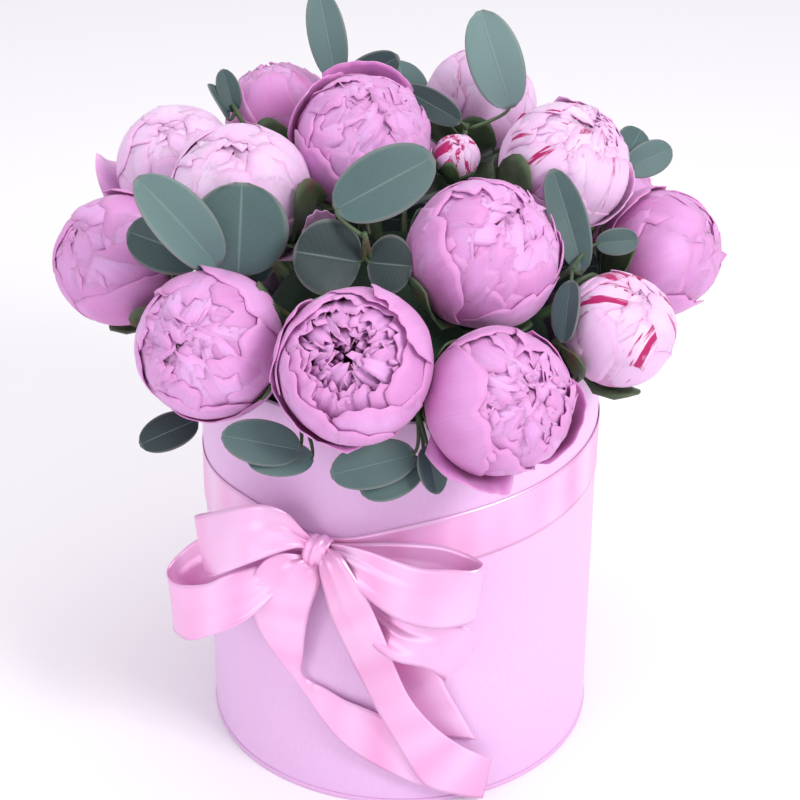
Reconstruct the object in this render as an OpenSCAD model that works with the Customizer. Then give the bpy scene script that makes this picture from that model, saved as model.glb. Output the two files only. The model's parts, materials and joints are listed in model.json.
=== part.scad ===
// Flower box: a round lidless hat box, tied with a satin ribbon and bow, that holds a lift-out insert.
// The insert is a waterproof liner with a block of floral foam, and every peony and sprig of
// eucalyptus is pushed into the foam along its own straight stem.
// Millimetres. The origin is the centre of the underside, +Z is up and -Y is the front.

/* [Box] */
// Outer diameter of the round box
box_d = 180; // [176:1:186]
// Height of the box, base included
box_h = 198; // [190:1:200]
// Thickness of the wall
wall_t = 2; // [1.5:0.1:2.5]
// Thickness of the base disc
base_t = 2.5; // [2:0.1:4]
// How far the covered edge of the base stands proud of the wall
base_lip = 0.5; // [0.3:0.1:1]

/* [Insert] */
// Clearance between the box wall and the liner
liner_gap = 0.6; // [0.4:0.1:1]
// Wall thickness of the liner
liner_t = 0.8; // [0.6:0.1:1.2]
// Height of the liner
liner_h = 120; // [80:5:150]
// Diameter of the foam block
foam_d = 132; // [126:1:136]
// Radius of the foam's domed top about the point that the stems aim at
foam_dome = 72; // [70:1:75]

/* [Flowers] */
// Diameter of a peony stem
stem_d = 5; // [4:0.5:5]
// Diameter of a eucalyptus twig
twig_d = 2.6; // [2:0.2:2.6]
// Thickness of a leaf
leaf_t = 1.2; // [0.8:0.1:1.4]
// Clearance round a stem in its hole
hole_gap = 0.06; // [0.02:0.01:0.1]

/* [Ribbon] */
// Width of the satin ribbon
ribbon_w = 25; // [20:1:26]
// Thickness of the ribbon
ribbon_t = 0.6; // [0.4:0.1:0.8]
// Height of the middle of the band
band_z = 139; // [120:1:150]
// Tilt of the band, which is higher on the right
band_tilt = 5; // [0:1:6]

/* [Hidden] */
$fn = 64;
box_r = box_d / 2;
foam_r = foam_d / 2;
liner_r = box_r - wall_t - liner_gap;
insert_z = base_t + 0.3;          // the liner's underside
foam_z = insert_z + liner_t;      // the foam's underside
centring_h = 16;                  // height of the ring that centres the foam
centring_t = 1.2;                 // thickness of that ring
centring_gap = 0.2;               // clearance between it and the foam

aim_z = 165;                      // height of the point that every stem aims at
aim_gap = 28;                     // distance from that point to a stem's cut end

knot_az = 248;                    // where the bow sits round the box
knot_z = 133;
knot_h = 20;
knot_r = 5;
band_gap = 0.1;                   // between the wall and the band
tail_gap = 0.9;                   // between the wall and the tails

// Each peony: azimuth, elevation and distance of the bloom from the aim point, then its radius
PEONIES = [
    [227, 30, 130, 29.5], [261, 32, 134, 30], [290, 25, 128, 29], [304, 56, 110, 30.5],
    [328, 29, 122, 24], [5, 29, 133, 27], [6, 56, 128, 28], [135, 79, 116, 29],
    [192, 56, 123, 30], [158, 41, 142, 27.5], [186, 30, 141, 28], [125, 46, 140, 25.5],
    [31, 75, 111, 10], [65, 51, 139, 25.5],
    [38, 27, 132, 28], [72, 27, 132, 28], [106, 27, 132, 28], [133, 25, 140, 22],
];

// Each sprig: azimuth, elevation and length of the twig from the aim point, then its leaves.
// Each leaf: base x, y, z, azimuth and elevation it grows in, roll, length and width
SPRIGS = [
    [219, 43, 130, [[-66, -60, 250, 80, 72, 15, 38, 41], [-74, -62, 255, 188, 54, -60, 50, 25],
                    [-80, -56, 256, 166, 15, -61, 34, 24]]],
    [259, 56, 132, [[-26, -64, 281, 16, 24, 64, 45, 28], [-16, -64, 258, 194, 16, -69, 26, 28],
                    [-13, -64, 258, 356, -4, 65, 17, 22]]],
    [324, 44, 124, [[76, -43, 244, 120, 57, -22, 45, 17], [70, -60, 248, 256, -50, 26, 26, 14],
                    [82, -32, 252, 12, 0, 65, 19, 12]]],
    [113, 60, 142, [[-29, 68, 288, 128, 72, -34, 42, 18], [-26, 62, 286, 341, 35, 81, 32, 17]]],
    [50, 68, 124, [[49, 38, 286, 158, 70, -66, 45, 25], [27, 34, 281, 160, 24, -60, 30, 14]]],
    [15, 42, 138, [[100, 30, 260, 25, 15, 62, 25, 16], [98, 30, 262, 60, 25, 40, 24, 18]]],
    [245, 24, 112, [[-40, -106, 195, 196, 20, -62, 33, 19], [-35, -103, 189, 202, 12, -60, 28, 15]]],
    [274, 24, 110, [[6, -108, 194, 198, -5, -56, 35, 20], [9, -106, 189, 206, -14, -50, 28, 18],
                    [11, -108, 198, 286, -46, 13, 20, 12]]],
    [210, 24, 112, [[-84, -76, 192, 206, -12, -50, 26, 16]]],
    [142, 50, 150, [[-75, 60, 276, 130, 65, -28, 20, 11], [-78, 56, 274, 150, 60, 20, 18, 12]]],
    [88, 42, 138, [[4, 102, 256, 100, 40, 10, 34, 26], [0, 100, 254, 190, 30, 20, 30, 22]]],
    [170, 25, 122, [[-110, 22, 214, 165, 10, 30, 36, 26], [-106, 16, 210, 200, -30, 10, 26, 20]]],
];

function two(i) = str(floor((i + 1) / 10), (i + 1) % 10);
function bloom_name(i) = str("peony_", two(i), "_bloom");
function stem_name(i) = str("peony_", two(i), "_stem");
function sprig_name(i) = str("eucalyptus_", two(i));
// A point at a distance from the aim point
function from_aim(az, el, d) = [d * cos(el) * cos(az), d * cos(el) * sin(az), aim_z + d * sin(el)];

// A tube with its inside open at both ends
module tube(r, t, z, h) {
    difference() {
        translate([0, 0, z]) cylinder(r = r, h = h);
        translate([0, 0, z - 1]) cylinder(r = r - t, h = h + 2);
    }
}

// Children drawn along +Z point away from the aim point
module aimed(az, el) {
    translate([0, 0, aim_z]) rotate([0, 90 - el, az]) children();
}

// A round rod between two points
module rod(a, b, r) {
    d = b - a;
    translate(a)
        rotate([0, acos(d.z / norm(d)), atan2(d.y, d.x)])
            cylinder(r = r, h = norm(d), $fn = 24);
}

// ---------- box ----------

module box_wall() {
    color("#efc4e4") tube(box_r, wall_t, base_t, box_h - base_t);
}

module base_disc() {
    color("#e6b4da") cylinder(r = box_r + base_lip, h = base_t);
}

// ---------- insert ----------

module liner() {
    color("#e9e9e6") {
        tube(liner_r, liner_t, insert_z, liner_h);
        translate([0, 0, insert_z]) cylinder(r = liner_r, h = liner_t);
        tube(foam_r + centring_gap + centring_t, centring_t, insert_z, centring_h);
    }
}

module foam_body() {
    difference() {
        translate([0, 0, foam_z]) cylinder(r = foam_r, h = aim_z + foam_dome + 2 - foam_z);
        difference() {
            translate([0, 0, aim_z]) cylinder(r = foam_r + 4, h = foam_dome + 4);
            translate([0, 0, aim_z]) sphere(r = foam_dome);
        }
    }
}

module stem_hole(az, el, d) {
    aimed(az, el) translate([0, 0, aim_gap]) cylinder(r = d / 2 + hole_gap, h = foam_dome);
}

module floral_foam() {
    color("#2f5a3c")
        difference() {
            foam_body();
            for (p = PEONIES) stem_hole(p[0], p[1], stem_d);
            for (s = SPRIGS) stem_hole(s[0], s[1], twig_d);
        }
}

// ---------- flowers ----------

// A globe of petals that narrows into its calyx
module bloom(i) {
    p = PEONIES[i];
    r = p[3];
    color("#e7a3d6")
        aimed(p[0], p[1]) translate([0, 0, p[2]]) {
            sphere(r = r);
            translate([0, 0, -r - 2]) cylinder(h = 0.45 * r + 1, r1 = 0.16 * r + 0.6, r2 = 0.62 * r);
        }
}

module stem(i) {
    p = PEONIES[i];
    color("#6f8f5a")
        aimed(p[0], p[1])
            translate([0, 0, aim_gap]) cylinder(d = stem_d, h = p[2] - p[3] - 2 - aim_gap, $fn = 32);
}

// A leaf lies along +X from its base, bounded by two arcs, with a midrib
module leaf(length, width) {
    arc_r = (length * length + width * width) / (4 * width);
    intersection() {
        translate([length / 2, arc_r - width / 2, -leaf_t / 2]) cylinder(r = arc_r, h = leaf_t);
        translate([length / 2, width / 2 - arc_r, -leaf_t / 2]) cylinder(r = arc_r, h = leaf_t);
    }
    translate([-0.8, 0, 0]) rotate([0, 90, 0]) cylinder(r = leaf_t * 0.8, h = length * 0.85, $fn = 24);
}

module sprig(i) {
    s = SPRIGS[i];
    color("#587a74") {
        aimed(s[0], s[1]) translate([0, 0, aim_gap]) cylinder(d = twig_d, h = s[2] - aim_gap, $fn = 24);
        for (k = [0:len(s[3]) - 1]) {
            l = s[3][k];
            base = [l[0], l[1], l[2]];
            rod(from_aim(s[0], s[1], s[2] - 2 - 2 * k), base, 0.9 - 0.12 * k);
            translate(base) rotate([0, -l[4], l[3]]) rotate([l[5], 0, 0]) leaf(l[6], l[7]);
        }
    }
}

// ---------- ribbon ----------

// The band is a thin ring cut out of the wall's circle by a tilted slab
module ribbon_band() {
    color("#f49ccb")
        intersection() {
            tube(box_r + band_gap + ribbon_t, ribbon_t, band_z - 40, 80);
            translate([0, 0, band_z]) rotate([0, -band_tilt, 0])
                translate([-box_r - 10, -box_r - 10, -ribbon_w / 2])
                    cube([box_d + 20, box_d + 20, ribbon_w]);
        }
}

// The bow's own frame: x to the right along the wall, y up, z out of the wall
module at_knot() {
    translate([box_r * cos(knot_az), box_r * sin(knot_az), knot_z])
        rotate([90, 0, knot_az + 90])
            children();
}

module bow_knot() {
    color("#ee86bd")
        at_knot() translate([0, 0, knot_r + 1.2]) rotate([90, 0, 0]) {
            translate([0, 0, -knot_h / 2]) cylinder(r = knot_r, h = knot_h);
            for (s = [-1, 1]) translate([0, 0, s * knot_h / 2]) sphere(r = knot_r);
        }
}

// A loop of ribbon: a wing-shaped outline with the space between its front and back left open
module bow_loop(outline, z, depth, mouth) {
    color("#f7aad4")
        at_knot() translate([0, 0, z])
            difference() {
                linear_extrude(depth) polygon(outline);
                translate([mouth[0], -80, 1]) cube([mouth[1] - mouth[0], 160, depth - 2]);
            }
}

module loop_upper_left() {
    bow_loop([[-6, 2], [-6, 10], [-14, 25], [-38, 20], [-52, 11], [-44, -14], [-30, -8]], 5, 13, [-40, -14]);
}

module loop_lower_left() {
    bow_loop([[-6, 0], [-32, -10], [-45, -16], [-62, -19], [-56, -45], [-38, -45], [-24, -32], [-8, -9]],
             8, 14, [-52, -16]);
}

module loop_upper_right() {
    bow_loop([[6, 3], [6, 11], [30, 19], [76, 22], [78, -6], [64, -11], [48, -13], [30, -4]], 5, 16, [16, 70]);
}

module loop_lower_right() {
    bow_loop([[7, -2], [30, -6], [48, -15], [64, -13], [76, -8], [78, -18], [59, -44], [34, -29]],
             5, 10, [22, 60]);
}

// A tail hangs down the wall: an outline in the bow's frame cut out of a thin tube
module tail(outline, gap) {
    color("#f6a6d0")
        intersection() {
            tube(box_r + gap + ribbon_t, ribbon_t, 0.5, knot_z);
            at_knot() translate([0, 0, -60]) linear_extrude(80) polygon(outline);
        }
}

module tail_left() {
    tail([[-2, -16], [-14, -7], [-24, -9], [-32, -20], [-34, -38], [-26, -58], [-10, -72], [8, -97],
          [42, -122], [57, -120], [44, -109], [20, -92], [-6, -72], [-9, -56], [-6, -36], [2, -24]], tail_gap);
}

module tail_right() {
    tail([[3, -16], [12, -7], [20, -8], [27, -20], [32, -40], [39, -62], [50, -82], [60, -98],
          [72, -108], [78, -132], [66, -130], [44, -110], [26, -82], [12, -50], [4, -28]],
         tail_gap + 1.2);
}

box_wall();
base_disc();
liner();
floral_foam();
ribbon_band();
bow_knot();
loop_upper_left();
loop_lower_left();
loop_upper_right();
loop_lower_right();
tail_left();
tail_right();
for (i = [0:len(PEONIES) - 1]) bloom(i);
for (i = [0:len(PEONIES) - 1]) stem(i);
for (i = [0:len(SPRIGS) - 1]) sprig(i);
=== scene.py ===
"""Flower box: the looks. Blooms, leaves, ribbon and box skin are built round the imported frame."""
import json
import math
import random

import bpy
import numpy as np
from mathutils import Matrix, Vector


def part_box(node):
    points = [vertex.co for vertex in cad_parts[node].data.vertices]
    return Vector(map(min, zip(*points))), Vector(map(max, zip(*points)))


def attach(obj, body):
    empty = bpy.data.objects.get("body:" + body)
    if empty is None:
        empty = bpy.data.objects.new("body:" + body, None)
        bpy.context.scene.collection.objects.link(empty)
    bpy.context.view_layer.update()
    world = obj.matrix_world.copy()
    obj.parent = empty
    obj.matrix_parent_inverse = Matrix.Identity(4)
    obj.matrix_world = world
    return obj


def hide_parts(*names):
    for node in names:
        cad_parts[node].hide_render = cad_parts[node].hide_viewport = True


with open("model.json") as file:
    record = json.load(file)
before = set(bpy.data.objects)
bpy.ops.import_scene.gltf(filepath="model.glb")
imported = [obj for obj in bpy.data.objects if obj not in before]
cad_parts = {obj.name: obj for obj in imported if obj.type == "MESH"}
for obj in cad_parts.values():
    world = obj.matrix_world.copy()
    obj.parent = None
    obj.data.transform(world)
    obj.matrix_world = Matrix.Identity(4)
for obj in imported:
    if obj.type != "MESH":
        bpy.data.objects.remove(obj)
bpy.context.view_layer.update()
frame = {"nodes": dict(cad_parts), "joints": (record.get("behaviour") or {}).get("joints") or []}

MM = 0.001
BODY_OF_BOX = "box"
PETAL_T = 0.45              # thicknesses in mm
SEPAL_T = 0.9
LEAF_T = 0.7
PEONY_SEED = 700            # each peony and sprig adds its own number
SPRIG_SEED = 900
FILLER_SEED = 950
JOINT_AXIS = {j["child"]: Vector(j["axis"]).normalized() for j in frame["joints"]}


# ---------- camera, light and floor ----------

CAMERA_AT = (0.0, -0.800, 0.596)
CAMERA_DOWN = 28.6          # degrees below level
CAMERA_LENS = 90.0


def make_camera():
    data = bpy.data.cameras.new("camera")
    data.lens = CAMERA_LENS
    data.sensor_width = 36.0
    data.clip_start = 0.01
    camera = bpy.data.objects.new("camera", data)
    camera.location = CAMERA_AT
    camera.rotation_euler = (math.radians(90.0 - CAMERA_DOWN), 0.0, 0.0)
    bpy.context.scene.collection.objects.link(camera)
    bpy.context.scene.camera = camera


def area_light(name, at, target, size, power, colour):
    data = bpy.data.lights.new(name, "AREA")
    data.size = size
    data.energy = power
    data.color = colour
    light = bpy.data.objects.new(name, data)
    light.location = at
    aim = Vector(target) - Vector(at)
    light.rotation_euler = aim.to_track_quat("-Z", "Y").to_euler()
    bpy.context.scene.collection.objects.link(light)


def make_studio():
    scene = bpy.context.scene
    scene.view_settings.view_transform = "Standard"
    world = bpy.data.worlds.new("studio")
    scene.world = world
    world.use_nodes = True
    background = world.node_tree.nodes["Background"]
    background.inputs["Color"].default_value = (0.98, 0.975, 1.0, 1.0)
    background.inputs["Strength"].default_value = 0.80
    middle = (0.0, 0.0, 0.18)
    area_light("key", (0.85, -0.90, 1.05), middle, 0.45, 12.0, (1.0, 0.985, 0.97))
    area_light("fill", (-1.0, -1.1, 0.60), middle, 0.5, 3.5, (0.95, 0.93, 1.0))
    area_light("top", (0.0, 0.15, 1.5), middle, 1.0, 5.0, (1.0, 0.97, 1.0))


def make_floor():
    bpy.ops.mesh.primitive_plane_add(size=12.0, location=(0, 0, 0))
    floor = bpy.context.object
    floor.name = "floor"
    mat, *_, shader = material("floor_paper")
    shader.inputs["Base Color"].default_value = (0.93, 0.92, 0.94, 1)
    shader.inputs["Roughness"].default_value = 0.9
    shader.inputs["Specular IOR Level"].default_value = 0.1
    floor.data.materials.append(mat)


# ---------- shader helpers ----------

def material(name):
    mat = bpy.data.materials.new(name)
    mat.use_nodes = True
    nodes = mat.node_tree.nodes
    return mat, nodes, mat.node_tree.links, nodes["Principled BSDF"]


def value_of(source, links, socket):
    """Joins a socket to a socket, or sets it from a number or colour."""
    if isinstance(source, bpy.types.NodeSocket):
        links.new(source, socket)
    elif isinstance(source, tuple):
        socket.default_value = (*source, 1.0)
    else:
        socket.default_value = source


def math_node(nodes, links, kind, *values, clamp=False):
    node = nodes.new("ShaderNodeMath")
    node.operation = kind
    node.use_clamp = clamp
    for value, socket in zip(values, node.inputs):
        value_of(value, links, socket)
    return node.outputs[0]


def mix_colour(nodes, links, factor, a, b):
    node = nodes.new("ShaderNodeMix")
    node.data_type = "RGBA"
    value_of(factor, links, node.inputs["Factor"])
    value_of(a, links, node.inputs["A"])
    value_of(b, links, node.inputs["B"])
    return node.outputs["Result"]


def ramp(nodes, links, factor, stops):
    node = nodes.new("ShaderNodeValToRGB")
    links.new(factor, node.inputs["Fac"])
    elements = node.color_ramp.elements
    while len(elements) < len(stops):
        elements.new(0.5)
    for element, (place, colour) in zip(elements, stops):
        element.position = place
        element.color = (*colour, 1.0)
    return node.outputs["Color"]


def grey(level):
    return (level, level, level)


def scaled(nodes, links, vector, scale):
    node = nodes.new("ShaderNodeMapping")
    links.new(vector, node.inputs["Vector"])
    node.inputs["Scale"].default_value = scale
    return node.outputs["Vector"]


def noise(nodes, links, vector, scale, detail=3.0, roughness=0.5):
    node = nodes.new("ShaderNodeTexNoise")
    links.new(vector, node.inputs["Vector"])
    node.inputs["Scale"].default_value = scale
    node.inputs["Detail"].default_value = detail
    node.inputs["Roughness"].default_value = roughness
    return node.outputs["Fac"]


def attribute(nodes, name):
    node = nodes.new("ShaderNodeAttribute")
    node.attribute_name = name
    return node.outputs["Vector"]


def object_coords(nodes):
    return nodes.new("ShaderNodeTexCoord").outputs["Object"]


def split(nodes, links, vector):
    node = nodes.new("ShaderNodeSeparateXYZ")
    links.new(vector, node.inputs[0])
    return tuple(node.outputs)


def bump(nodes, links, shader, height, strength, distance):
    node = nodes.new("ShaderNodeBump")
    node.inputs["Strength"].default_value = strength
    node.inputs["Distance"].default_value = distance
    links.new(height, node.inputs["Height"])
    links.new(node.outputs["Normal"], shader.inputs["Normal"])


# ---------- materials ----------

FLAME_SPREAD = 0.06         # how much wider the flames are on a strongly flamed petal


def petal_material(name, deep, mid, light, edge, flame, flame_level):
    """Petals run from a deep base to a paler top, with veins, a flushed rim and magenta flames.

    A higher flame_level leaves fewer flames.
    """
    mat, nodes, links, shader = material(name)
    place = attribute(nodes, "place")     # across, along, which petal
    kind = attribute(nodes, "kind")       # tone, flame, rim
    along = split(nodes, links, place)[1]
    tone, flame_amount, rim = split(nodes, links, kind)
    body = ramp(nodes, links, along, [(0.0, deep), (0.34, deep), (0.60, mid), (0.86, light)])
    # tone mixes each petal towards the middle colour: partly tone that differs at random, partly painted
    # shade that darkens the paler parts of the outer, lower layers
    shade = mix_colour(nodes, links, math_node(nodes, links, "MULTIPLY", tone, 0.75), body, mid)
    blush = noise(nodes, links, scaled(nodes, links, place, (1.4, 1.6, 3.0)), 1.0, 2.0)
    blush = ramp(nodes, links, blush, [(0.44, grey(0.0)), (0.74, grey(0.6))])
    shade = mix_colour(nodes, links, blush, shade, mid)
    veins = noise(nodes, links, scaled(nodes, links, place, (30.0, 1.4, 4.0)), 1.0, 4.0, 0.6)
    vein_ramp = ramp(nodes, links, veins, [(0.38, grey(0.0)), (0.75, grey(1.0))])
    veined = mix_colour(nodes, links, math_node(nodes, links, "MULTIPLY", vein_ramp, 0.13), shade, deep)
    rim_edge = mix_colour(nodes, links, math_node(nodes, links, "MULTIPLY", rim, 0.75), veined, edge)
    streak = noise(nodes, links, scaled(nodes, links, place, (2.4, 0.9, 7.0)), 1.0, 4.0, 0.66)
    streak = math_node(nodes, links, "ADD", streak,
                       math_node(nodes, links, "MULTIPLY", flame_amount, FLAME_SPREAD))
    streak = ramp(nodes, links, streak, [(flame_level, grey(0.0)), (flame_level + 0.04, grey(1.0))])
    streak = math_node(nodes, links, "MULTIPLY", streak, flame_amount, clamp=True)
    colour = mix_colour(nodes, links, streak, rim_edge, flame)
    links.new(colour, shader.inputs["Base Color"])
    roughness = math_node(nodes, links, "MULTIPLY_ADD", veins, 0.2, 0.42)
    links.new(roughness, shader.inputs["Roughness"])
    shader.inputs["Specular IOR Level"].default_value = 0.3
    shader.inputs["Sheen Weight"].default_value = 0.15
    shader.inputs["Sheen Roughness"].default_value = 0.4
    shader.inputs["Subsurface Weight"].default_value = 0.18
    shader.inputs["Subsurface Radius"].default_value = (0.9, 0.35, 0.6)
    shader.inputs["Subsurface Scale"].default_value = 0.0020
    bump(nodes, links, shader, veins, 0.32, 0.0006)
    return mat


def leaf_material():
    """Waxy grey-green leaf: pale midrib and side veins, cloudy bloom, thin reddish rim. Each leaf's tone,
    partly its own and partly painted shade, sets how dark it is and how much bloom shows.
    """
    mat, nodes, links, shader = material("eucalyptus_leaf")
    place = attribute(nodes, "place")
    kind = attribute(nodes, "kind")
    across, along = split(nodes, links, place)[:2]
    tone, rim = split(nodes, links, kind)[::2]
    coords = object_coords(nodes)
    cloud = noise(nodes, links, coords, 95.0, 5.0, 0.62)
    dark = (0.010, 0.022, 0.024)
    middle = (0.062, 0.120, 0.118)
    pale = (0.185, 0.300, 0.280)
    # tone is partly the leaf's own and partly painted shade: leaves that sit in shade get dark tones and
    # less bloom
    body = ramp(nodes, links, tone, [(0.0, dark), (0.5, middle), (1.0, pale)])
    haze = math_node(nodes, links, "MULTIPLY_ADD", tone, 0.36, 0.06)
    bloom = mix_colour(nodes, links, math_node(nodes, links, "MULTIPLY", cloud, haze), body,
                       (0.16, 0.24, 0.25))
    centre = math_node(nodes, links, "ABSOLUTE", across)
    rib = ramp(nodes, links, centre, [(0.0, grey(1.0)), (0.045, grey(0.0))])
    slant = math_node(nodes, links, "MULTIPLY", centre, -3.2)
    side = math_node(nodes, links, "MULTIPLY_ADD", along, 11.0, slant)
    side = math_node(nodes, links, "PINGPONG", side, 0.5)
    side = ramp(nodes, links, side, [(0.0, grey(1.0)), (0.07, grey(0.0))])
    lines = math_node(nodes, links, "MULTIPLY_ADD", side, 0.16, rib)
    veined = mix_colour(nodes, links, math_node(nodes, links, "MULTIPLY", lines, 0.45, clamp=True), bloom,
                        (0.22, 0.32, 0.30))
    rimmed = mix_colour(nodes, links, math_node(nodes, links, "MULTIPLY", rim, 0.55), veined,
                        (0.26, 0.25, 0.24))
    links.new(rimmed, shader.inputs["Base Color"])
    roughness = math_node(nodes, links, "MULTIPLY_ADD", cloud, 0.3, 0.38)
    links.new(roughness, shader.inputs["Roughness"])
    shader.inputs["Specular IOR Level"].default_value = 0.4
    bump(nodes, links, shader, lines, 0.4, 0.0004)
    return mat


def stem_material():
    """Green stems and sepals with lengthwise fibres and a reddish flush; the greens are darkened as
    painted shade, so the gaps between blooms read dark.
    """
    mat, nodes, links, shader = material("stem_green")
    coords = object_coords(nodes)
    flush = noise(nodes, links, coords, 60.0, 3.0)
    fibre = noise(nodes, links, coords, 700.0, 2.0)
    # painted shade: dark greens so the stems seen in the gaps between blooms read as shaded; the reddish
    # flush is their own
    colour = ramp(nodes, links, flush, [(0.35, (0.030, 0.060, 0.028)), (0.55, (0.065, 0.110, 0.045)),
                                        (0.74, (0.150, 0.060, 0.050))])
    links.new(colour, shader.inputs["Base Color"])
    shader.inputs["Roughness"].default_value = 0.5
    bump(nodes, links, shader, fibre, 0.3, 0.0003)
    return mat


def satin_material():
    """Satin ribbon: fine crosswise threads, a firm woven edge, broad pink bands, and paler lilac bands
    that are painted highlights.
    """
    mat, nodes, links, shader = material("ribbon_satin")
    place = attribute(nodes, "place")     # across 0..1, along in mm, 0
    across = split(nodes, links, place)[0]
    coords = object_coords(nodes)
    soft = noise(nodes, links, coords, 26.0, 2.0)
    # painted highlight: paler lilac bands across the ribbon stand in for the satin's shine
    painted_shine = noise(nodes, links, scaled(nodes, links, place, (0.12, 0.035, 1.0)), 1.0, 1.0)
    painted_shine = ramp(nodes, links, painted_shine, [(0.36, grey(0.0)), (0.70, grey(0.7))])
    pink = ramp(nodes, links, soft, [(0.30, (0.82, 0.33, 0.61)), (0.70, (0.85, 0.41, 0.71))])
    base = mix_colour(nodes, links, painted_shine, pink, (0.89, 0.65, 0.92))
    edge = math_node(nodes, links, "PINGPONG", across, 0.5)
    selvedge = ramp(nodes, links, edge, [(0.0, grey(1.0)), (0.04, grey(0.0))])
    colour = mix_colour(nodes, links, math_node(nodes, links, "MULTIPLY", selvedge, 0.30), base,
                        (0.90, 0.56, 0.86))
    links.new(colour, shader.inputs["Base Color"])
    threads = nodes.new("ShaderNodeTexWave")
    links.new(scaled(nodes, links, place, (0.0, 1.0, 0.0)), threads.inputs["Vector"])
    threads.bands_direction = "Y"
    threads.inputs["Scale"].default_value = 1.1
    height = math_node(nodes, links, "MULTIPLY_ADD", threads.outputs["Fac"], 0.25, selvedge)
    bump(nodes, links, shader, height, 0.22, 0.0002)
    links.new(ramp(nodes, links, soft, [(0.3, grey(0.30)), (0.7, grey(0.38))]),
              shader.inputs["Roughness"])
    shader.inputs["Metallic"].default_value = 0.35
    shader.inputs["Specular IOR Level"].default_value = 0.8
    shader.inputs["Sheen Weight"].default_value = 0.15
    shader.inputs["Sheen Roughness"].default_value = 0.25
    return mat


def paper_material(name, colour, deeper, gloss):
    """Pearlescent paper over cardboard: fine fibre, faint cloudiness, a soft sheen."""
    mat, nodes, links, shader = material(name)
    coords = object_coords(nodes)
    cloud = noise(nodes, links, coords, 14.0, 4.0, 0.55)
    fibre = noise(nodes, links, scaled(nodes, links, coords, (900.0, 900.0, 260.0)), 1.0, 3.0, 0.7)
    body = ramp(nodes, links, cloud, [(0.3, deeper), (0.7, colour)])
    speck = ramp(nodes, links, fibre, [(0.35, grey(0.0)), (0.8, grey(1.0))])
    links.new(mix_colour(nodes, links, math_node(nodes, links, "MULTIPLY", speck, 0.12), body,
                         (0.98, 0.86, 0.97)), shader.inputs["Base Color"])
    roughness = math_node(nodes, links, "MULTIPLY_ADD", fibre, 0.18, gloss)
    links.new(roughness, shader.inputs["Roughness"])
    shader.inputs["Specular IOR Level"].default_value = 0.45
    shader.inputs["Sheen Weight"].default_value = 0.2
    bump(nodes, links, shader, fibre, 0.12, 0.0002)
    return mat


def foam_material():
    """Wet floral foam: dark green, made darker still as painted shade in the gaps between blooms, with
    fine open cells.
    """
    mat, nodes, links, shader = material("floral_foam")
    coords = object_coords(nodes)
    cells = nodes.new("ShaderNodeTexVoronoi")
    links.new(coords, cells.inputs["Vector"])
    cells.inputs["Scale"].default_value = 900.0
    cloud = noise(nodes, links, coords, 55.0, 4.0)
    # painted shade: the very dark greens make the foam seen between blooms read as shaded
    links.new(ramp(nodes, links, cloud, [(0.3, (0.010, 0.028, 0.016)), (0.7, (0.026, 0.066, 0.034))]),
              shader.inputs["Base Color"])
    shader.inputs["Roughness"].default_value = 0.85
    bump(nodes, links, shader, cells.outputs["Distance"], 0.6, 0.0006)
    return mat


def liner_material():
    """Thin white plastic with a faint haze."""
    mat, nodes, links, shader = material("liner_plastic")
    coords = object_coords(nodes)
    haze = noise(nodes, links, coords, 30.0, 3.0)
    links.new(ramp(nodes, links, haze, [(0.3, (0.66, 0.66, 0.64)), (0.7, (0.76, 0.76, 0.74))]),
              shader.inputs["Base Color"])
    shader.inputs["Roughness"].default_value = 0.32
    bump(nodes, links, shader, haze, 0.15, 0.0005)
    return mat


# ---------- mesh helpers ----------

class Sheets:
    """Collects curved grids into one mesh, with two vector attributes for the shader."""

    def __init__(self):
        self.points = []
        self.faces = []
        self.place = []
        self.kind = []
        self.count = 0

    def add(self, grid, place, kind, closed=False):
        rows, cols = grid.shape[:2]
        self.points.append(grid.reshape(-1, 3))
        self.place.append(place.reshape(-1, 3))
        self.kind.append(kind.reshape(-1, 3))
        last = rows if closed else rows - 1
        for i in range(last):
            j = (i + 1) % rows
            for k in range(cols - 1):
                a = self.count + i * cols + k
                b = self.count + j * cols + k
                self.faces.append((a, a + 1, b + 1, b))
        self.count += rows * cols

    def build(self, name, mat, thickness, offset=0.0):
        mesh = bpy.data.meshes.new(name)
        mesh.from_pydata(np.concatenate(self.points).tolist(), [], self.faces)
        for label, values in (("place", self.place), ("kind", self.kind)):
            layer = mesh.attributes.new(label, "FLOAT_VECTOR", "POINT")
            layer.data.foreach_set("vector", np.concatenate(values).astype(np.float32).ravel())
        mesh.polygons.foreach_set("use_smooth", [True] * len(mesh.polygons))
        mesh.materials.append(mat)
        mesh.update()
        piece = bpy.data.objects.new(name, mesh)
        bpy.context.scene.collection.objects.link(piece)
        if thickness:
            solid = piece.modifiers.new("thickness", "SOLIDIFY")
            solid.thickness = thickness
            solid.offset = offset
        return piece


def smoothstep(low, high, x):
    t = np.clip((x - low) / (high - low), 0.0, 1.0)
    return t * t * (3.0 - 2.0 * t)


def facing_frame(axis):
    """Columns x, y, z: z along the axis, x the way down, y to the right seen from in front."""
    z = np.array(axis, float)
    z /= np.linalg.norm(z)
    down = np.array((0.0, 0.0, -1.0)) if abs(z[2]) < 0.97 else np.array((0.0, -1.0, 0.0))
    x = down - z * down.dot(z)
    x /= np.linalg.norm(x)
    return np.stack([x, np.cross(z, x), z], axis=1)


# ---------- peonies ----------

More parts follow.
